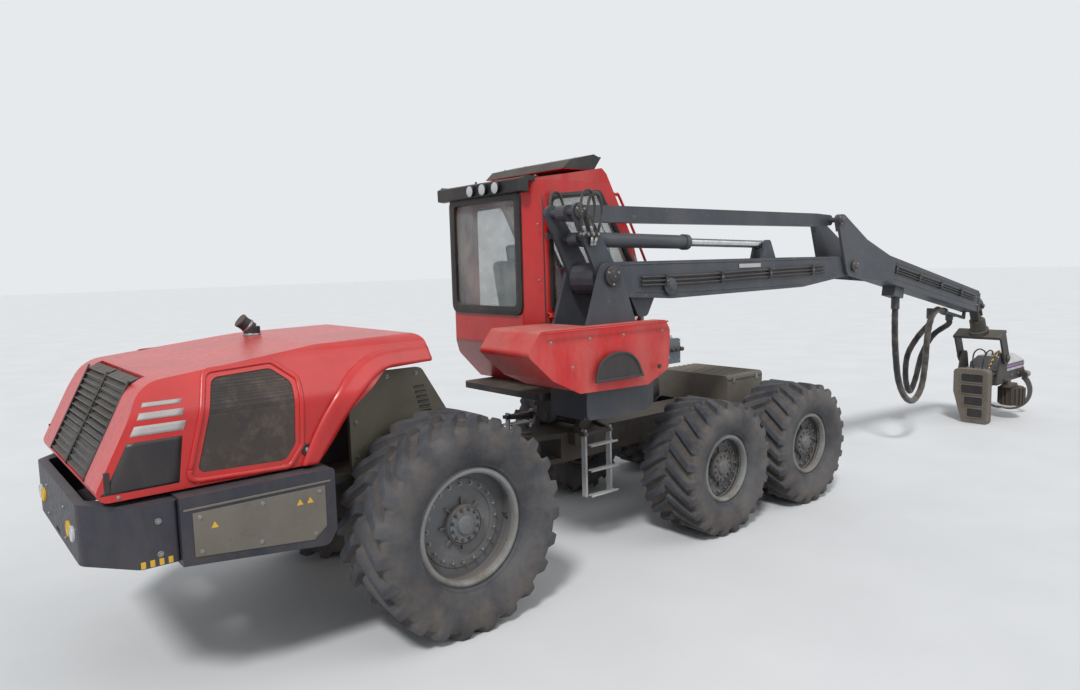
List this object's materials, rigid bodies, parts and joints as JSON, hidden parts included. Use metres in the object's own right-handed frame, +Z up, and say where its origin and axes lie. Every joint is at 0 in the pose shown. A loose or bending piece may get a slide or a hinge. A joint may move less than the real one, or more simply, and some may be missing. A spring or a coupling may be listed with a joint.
{
  "type": "forestry harvester",
  "caption": "Wheeled forestry harvester with an articulated frame, levelled and slewing cab, parallel crane with hose loops, and a harvesting head set down at its tip.",
  "frame": {"origin": "on the ground under the middle of the machine's overall length and width, as it stands with its head set down ahead", "axes": "+X forwards, towards the bogies and the crane's tip; +Y to the machine's left; +Z up"},
  "size_m": [14.0912, 2.8386, 3.7792],
  "materials": {
    "red_paint": "gloss",
    "crane_paint": "satin",
    "dark_paint": "satin",
    "frame_paint": "matt",
    "rim_paint": "satin",
    "box_paint": "matt",
    "screen": "matt",
    "cover_paint": "gloss",
    "cylinder_rod": "polished",
    "saw_steel": "worn",
    "casting": "rough",
    "tyre": "matt",
    "hose_sleeve": "woven",
    "pane": "clear",
    "seat_cover": "woven",
    "console": "grained"
  },
  "bodies": {
    "front": {"front_frame": "frame_paint", "bogie_boxes": "frame_paint", "front_box": "box_paint"},
    "rear": {"rear_frame": "frame_paint", "engine_block": "frame_paint", "rear_bumper": "dark_paint", "side_boxes": "dark_paint", "wheel_screens": "box_paint"},
    "hood": {"hood_shell": "red_paint", "rear_grille": "dark_paint", "intake_screens": "screen", "exhaust_stack": "dark_paint"},
    "wheel_rear_left": {"tyre_rear_left": "tyre", "rim_rear_left": "rim_paint"},
    "wheel_rear_right": {"tyre_rear_right": "tyre", "rim_rear_right": "rim_paint"},
    "wheel_mid_left": {"tyre_mid_left": "tyre", "rim_mid_left": "rim_paint"},
    "wheel_mid_right": {"tyre_mid_right": "tyre", "rim_mid_right": "rim_paint"},
    "wheel_front_left": {"tyre_front_left": "tyre", "rim_front_left": "rim_paint"},
    "wheel_front_right": {"tyre_front_right": "tyre", "rim_front_right": "rim_paint"},
    "levelling_cradle": {"levelling_cradle": "dark_paint"},
    "levelling_ring": {"levelling_ring": "frame_paint"},
    "upper": {"turntable": "dark_paint", "cab_shell": "red_paint", "cab_roof": "red_paint", "cab_glass": "pane", "operator_seat": "seat_cover", "cab_consoles": "console", "crane_base": "crane_paint", "crane_cover": "red_paint", "valve_box": "box_paint"},
    "door": {"cab_door": "red_paint", "door_glass": "pane"},
    "main_boom": {"main_boom": "crane_paint"},
    "rocker": {"rocker": "crane_paint"},
    "parallel_link": {"parallel_link": "crane_paint"},
    "stick": {"stick": "crane_paint", "hose_loop_a": "hose_sleeve"},
    "extension": {"extension": "crane_paint", "hose_loop_b": "hose_sleeve"},
    "lift_tube": {"lift_tube": "crane_paint"},
    "lift_rod": {"lift_rod": "cylinder_rod"},
    "luff_tube": {"luff_tube": "crane_paint"},
    "luff_rod": {"luff_rod": "cylinder_rod"},
    "tip_link": {"tip_link": "crane_paint"},
    "link_cross": {"link_cross": "casting"},
    "rotator": {"rotator": "casting", "tilt_yoke": "dark_paint"},
    "head": {"head_frame": "dark_paint", "head_cover": "cover_paint", "saw_box": "box_paint"},
    "saw_bar": {"saw_bar": "saw_steel"},
    "knife_left": {"knife_left": "saw_steel"},
    "knife_right": {"knife_right": "saw_steel"},
    "roller_left": {"roller_left": "casting"},
    "roller_right": {"roller_right": "casting"}
  },
  "joints": [
    {"name": "spin_rear_left", "type": "hinge", "parent": "rear", "child": "wheel_rear_left", "pos_m": [-4.63006, 1.1, 0.825], "axis": [0, 1, 0], "continuous": true},
    {"name": "spin_rear_right", "type": "hinge", "parent": "rear", "child": "wheel_rear_right", "pos_m": [-4.63006, -1.1, 0.825], "axis": [0, 1, 0], "continuous": true},
    {"name": "spin_mid_left", "type": "hinge", "parent": "front", "child": "wheel_mid_left", "pos_m": [-1.53006, 1.06, 0.67], "axis": [0, 1, 0], "continuous": true},
    {"name": "spin_mid_right", "type": "hinge", "parent": "front", "child": "wheel_mid_right", "pos_m": [-1.53006, -1.06, 0.67], "axis": [0, 1, 0], "continuous": true},
    {"name": "spin_front_left", "type": "hinge", "parent": "front", "child": "wheel_front_left", "pos_m": [-0.03006, 1.06, 0.67], "axis": [0, 1, 0], "continuous": true},
    {"name": "spin_front_right", "type": "hinge", "parent": "front", "child": "wheel_front_right", "pos_m": [-0.03006, -1.06, 0.67], "axis": [0, 1, 0], "continuous": true},
    {"name": "steer", "type": "hinge", "parent": "front", "child": "rear", "pos_m": [-3.03006, 0, 0.91], "axis": [0, 0, 1], "range_deg": [-38, 38]},
    {"name": "hood_lift", "type": "hinge", "parent": "rear", "child": "hood", "pos_m": [-6.91506, 0, 1.474], "axis": [0, -1, 0], "range_deg": [0, 50]},
    {"name": "level_pitch", "type": "hinge", "parent": "front", "child": "levelling_cradle", "pos_m": [-2.48006, 0, 1.215], "axis": [0, 1, 0], "range_deg": [-10, 10]},
    {"name": "level_roll", "type": "hinge", "parent": "levelling_cradle", "child": "levelling_ring", "pos_m": [-2.48006, 0, 1.215], "axis": [1, 0, 0], "range_deg": [-8, 8]},
    {"name": "slew", "type": "hinge", "parent": "levelling_ring", "child": "upper", "pos_m": [-2.48006, 0, 1.5], "axis": [0, 0, 1], "continuous": true},
    {"name": "door", "type": "hinge", "parent": "upper", "child": "door", "pos_m": [-3.03806, 0.896, 2.4], "axis": [0, 0, 1], "range_deg": [0, 90]},
    {"name": "lift", "type": "hinge", "parent": "upper", "child": "main_boom", "pos_m": [-2.91006, -0.88, 2.62], "axis": [0, -1, 0], "range_deg": [-8, 55]},
    {"name": "stick", "type": "hinge", "parent": "main_boom", "child": "stick", "pos_m": [1.33994, -0.88, 2.62], "axis": [0, 1, 0], "range_deg": [-20, 80], "deforming": ["hose_loop_a"]},
    {"name": "rocker", "type": "hinge", "parent": "main_boom", "child": "rocker", "pos_m": [-2.91006, -0.88, 2.62], "axis": [0, 1, 0], "range_deg": [-20, 80]},
    {"name": "link", "type": "hinge", "parent": "rocker", "child": "parallel_link", "pos_m": [-3.24006, -0.88, 3.18], "axis": [0, 1, 0], "range_deg": [-80, 20]},
    {"name": "luff_tube_swing", "type": "hinge", "parent": "rocker", "child": "luff_tube", "pos_m": [-3.10806, -0.88, 2.956], "axis": [0, 1, 0], "range_deg": [-80, 20]},
    {"name": "luff_rod_slide", "type": "slide", "parent": "luff_tube", "child": "luff_rod", "axis": [0.9998, 0, -0.02], "range_m": [-0.5, 0.13]},
    {"name": "lift_tube_swing", "type": "hinge", "parent": "upper", "child": "lift_tube", "pos_m": [-3.08006, -0.88, 1.46], "axis": [0, -1, 0], "range_deg": [-3, 16]},
    {"name": "lift_rod_slide", "type": "slide", "parent": "lift_tube", "child": "lift_rod", "axis": [0.6604, 0, 0.7509], "range_m": [-0.12, 0.56]},
    {"name": "extension", "type": "slide", "parent": "stick", "child": "extension", "axis": [-0.982, 0, 0.1888], "range_m": [-3, 0]},
    {"name": "tip_link", "type": "hinge", "parent": "extension", "child": "tip_link", "pos_m": [5.52858, -0.88, 1.89599], "axis": [0, -1, 0], "range_deg": [-35, 30]},
    {"name": "cross_link", "type": "hinge", "parent": "tip_link", "child": "link_cross", "pos_m": [5.60043, -0.88, 1.74192], "axis": [0.9063, 0, 0.4226], "range_deg": [-20, 20]},
    {"name": "rotator", "type": "hinge", "parent": "link_cross", "child": "rotator", "pos_m": [5.65537, -0.88, 1.6241], "axis": [0.4226, 0, -0.9063], "continuous": true},
    {"name": "head_tilt", "type": "hinge", "parent": "rotator", "child": "head", "pos_m": [5.93006, -0.88, 1.035], "axis": [0, 1, 0], "range_deg": [-80, 12]},
    {"name": "knife_left", "type": "hinge", "parent": "head", "child": "knife_left", "pos_m": [6.86006, -0.545, 0.675], "axis": [1, 0, 0], "range_deg": [-8, 50]},
    {"name": "knife_right", "type": "hinge", "parent": "head", "child": "knife_right", "pos_m": [6.86006, -1.215, 0.675], "axis": [-1, 0, 0], "range_deg": [-8, 50]},
    {"name": "arm_left", "type": "hinge", "parent": "head", "child": "roller_left", "pos_m": [6.01006, -0.55, 0.57], "axis": [0, 0, 1], "range_deg": [-4, 22]},
    {"name": "arm_right", "type": "hinge", "parent": "head", "child": "roller_right", "pos_m": [6.01006, -1.21, 0.57], "axis": [0, 0, -1], "range_deg": [-4, 22]},
    {"name": "saw_bar", "type": "hinge", "parent": "head", "child": "saw_bar", "pos_m": [5.53506, -1, 0.555], "axis": [1, 0, 0], "range_deg": [0, 90]}
  ],
  "couplings": [
    {"joint": "rocker", "follows": "stick", "ratio": 1},
    {"joint": "link", "follows": "stick", "ratio": -1},
    {"joint": "luff_tube_swing", "follows": "stick", "ratio": -1},
    {"joint": "luff_rod_slide", "follows": "stick", "m_per_rad": -0.35},
    {"joint": "lift_tube_swing", "follows": "lift", "ratio": 0.242},
    {"joint": "lift_rod_slide", "follows": "lift", "m_per_rad": 0.5365},
    {"joint": "knife_right", "follows": "knife_left", "ratio": 1},
    {"joint": "arm_right", "follows": "arm_left", "ratio": 1}
  ]
}
